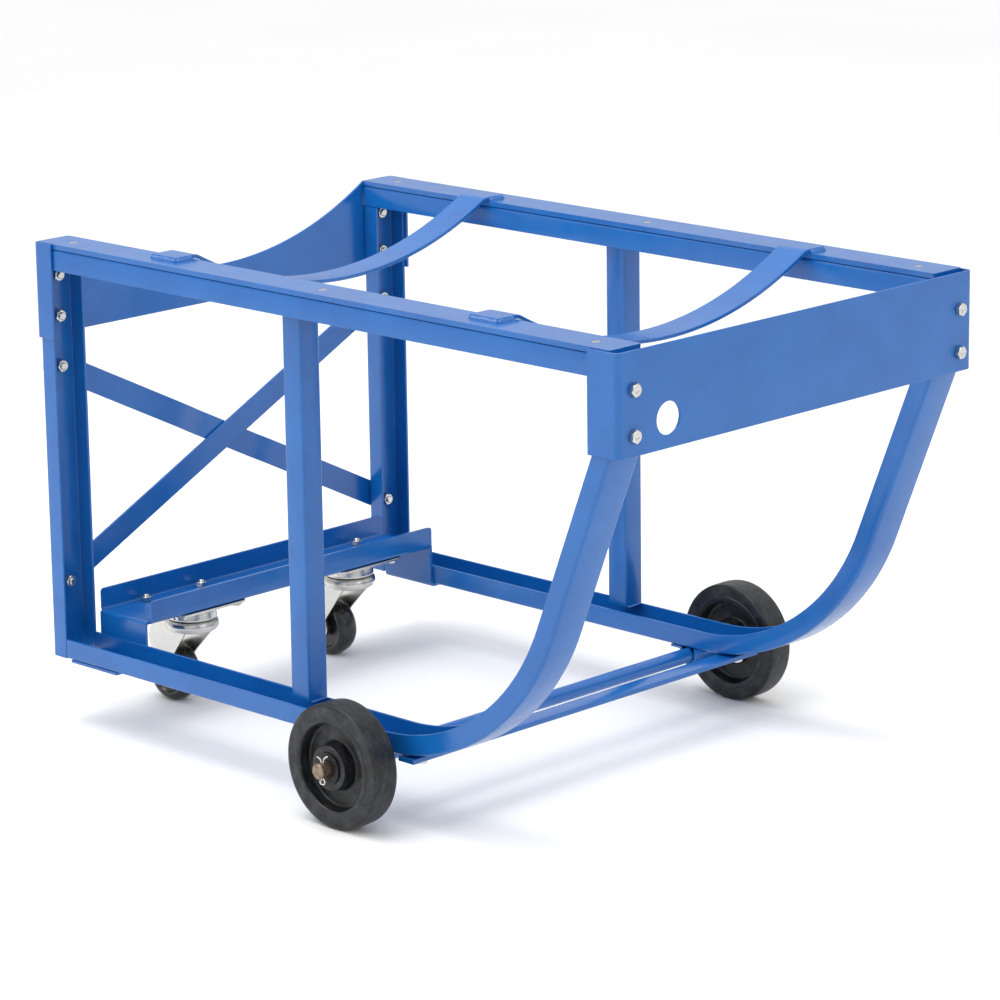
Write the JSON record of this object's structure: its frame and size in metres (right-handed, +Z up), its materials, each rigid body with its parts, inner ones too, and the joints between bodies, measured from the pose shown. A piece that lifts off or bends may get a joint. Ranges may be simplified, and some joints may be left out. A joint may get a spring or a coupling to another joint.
{
  "type": "drum cradle cart",
  "caption": "Low rocking cart that carries a drum on its side: channel side frames with curved front legs, saddle straps across the top, large wheels in front and swivel casters behind.",
  "frame": {"origin": "on the floor, under the middle of the cart's bounding box", "axes": "+X points to the curved-leg end with the full-width front plate, +Y to the cart's left side, +Z up; the right side is -Y"},
  "size_m": [1.0002, 0.779, 0.6251],
  "materials": {
    "blue_paint": "gloss powder coat",
    "zinc_plate": "bright zinc plated",
    "bare_steel": "bare, slightly tarnished",
    "black_oxide": "oil-blackened",
    "black_rubber": "moulded, satin",
    "caster_tread": "smooth, semi-gloss"
  },
  "bodies": {
    "frame": {"axle": "bare_steel", "axle_saddle_l": "blue_paint", "axle_saddle_r": "blue_paint", "axle_sleeve_l": "blue_paint", "axle_sleeve_r": "blue_paint", "bottom_rail_l": "blue_paint", "bottom_rail_r": "blue_paint", "brace_bar_a": "blue_paint", "brace_bar_b": "blue_paint", "brace_bolt_l1": "zinc_plate", "brace_bolt_l2": "zinc_plate", "brace_bolt_r1": "zinc_plate", "brace_bolt_r2": "zinc_plate", "cap_strip_l": "blue_paint", "cap_strip_r": "blue_paint", "caster_kingpin_l": "bare_steel", "caster_kingpin_r": "bare_steel", "caster_plate_l": "zinc_plate", "caster_plate_r": "zinc_plate", "caster_tray": "blue_paint", "cotter_pin_l": "zinc_plate", "cotter_pin_r": "zinc_plate", "front_end_plate": "blue_paint", "front_plate_bolt_l1": "zinc_plate", "front_plate_bolt_l2": "zinc_plate", "front_plate_bolt_r1": "zinc_plate", "front_plate_bolt_r2": "zinc_plate", "middle_post_l": "blue_paint", "middle_post_r": "blue_paint", "rear_end_plate": "blue_paint", "rear_plate_bolt_l1": "zinc_plate", "rear_plate_bolt_l2": "zinc_plate", "rear_plate_bolt_r1": "zinc_plate", "rear_plate_bolt_r2": "zinc_plate", "rear_post_l": "blue_paint", "rear_post_r": "blue_paint", "saddle_strap_front": "blue_paint", "saddle_strap_rear": "blue_paint", "tie_bar": "blue_paint", "tie_bar_bolt_l": "zinc_plate", "tie_bar_bolt_r": "zinc_plate", "top_rail_l": "blue_paint", "top_rail_r": "blue_paint", "washer_inner_l": "black_oxide", "washer_inner_r": "black_oxide", "washer_outer_l": "black_oxide", "washer_outer_r": "black_oxide"},
    "wheel_r": {"wheel_r": "black_rubber", "wheel_bush_r": "black_oxide"},
    "swivel_r": {"caster_fork_r": "zinc_plate", "caster_axle_r": "zinc_plate"},
    "caster_roll_r": {"caster_wheel_r": "caster_tread"},
    "wheel_l": {"wheel_l": "black_rubber", "wheel_bush_l": "black_oxide"},
    "swivel_l": {"caster_fork_l": "zinc_plate", "caster_axle_l": "zinc_plate"},
    "caster_roll_l": {"caster_wheel_l": "caster_tread"}
  },
  "joints": [
    {"name": "wheel_spin_r", "type": "hinge", "parent": "frame", "child": "wheel_r", "pos_m": [0.08752, -0.3495, 0.0762], "axis": [0, 1, 0], "continuous": true},
    {"name": "caster_swivel_r", "type": "hinge", "parent": "frame", "child": "swivel_r", "pos_m": [-0.41205, -0.139, 0.11], "axis": [0, 0, 1], "continuous": true},
    {"name": "caster_spin_r", "type": "hinge", "parent": "swivel_r", "child": "caster_roll_r", "pos_m": [-0.44805, -0.139, 0.0381], "axis": [0, 1, 0], "continuous": true},
    {"name": "wheel_spin_l", "type": "hinge", "parent": "frame", "child": "wheel_l", "pos_m": [0.08752, 0.3495, 0.0762], "axis": [0, 1, 0], "continuous": true},
    {"name": "caster_swivel_l", "type": "hinge", "parent": "frame", "child": "swivel_l", "pos_m": [-0.41205, 0.139, 0.11], "axis": [0, 0, 1], "continuous": true},
    {"name": "caster_spin_l", "type": "hinge", "parent": "swivel_l", "child": "caster_roll_l", "pos_m": [-0.44805, 0.139, 0.0381], "axis": [0, 1, 0], "continuous": true}
  ]
}
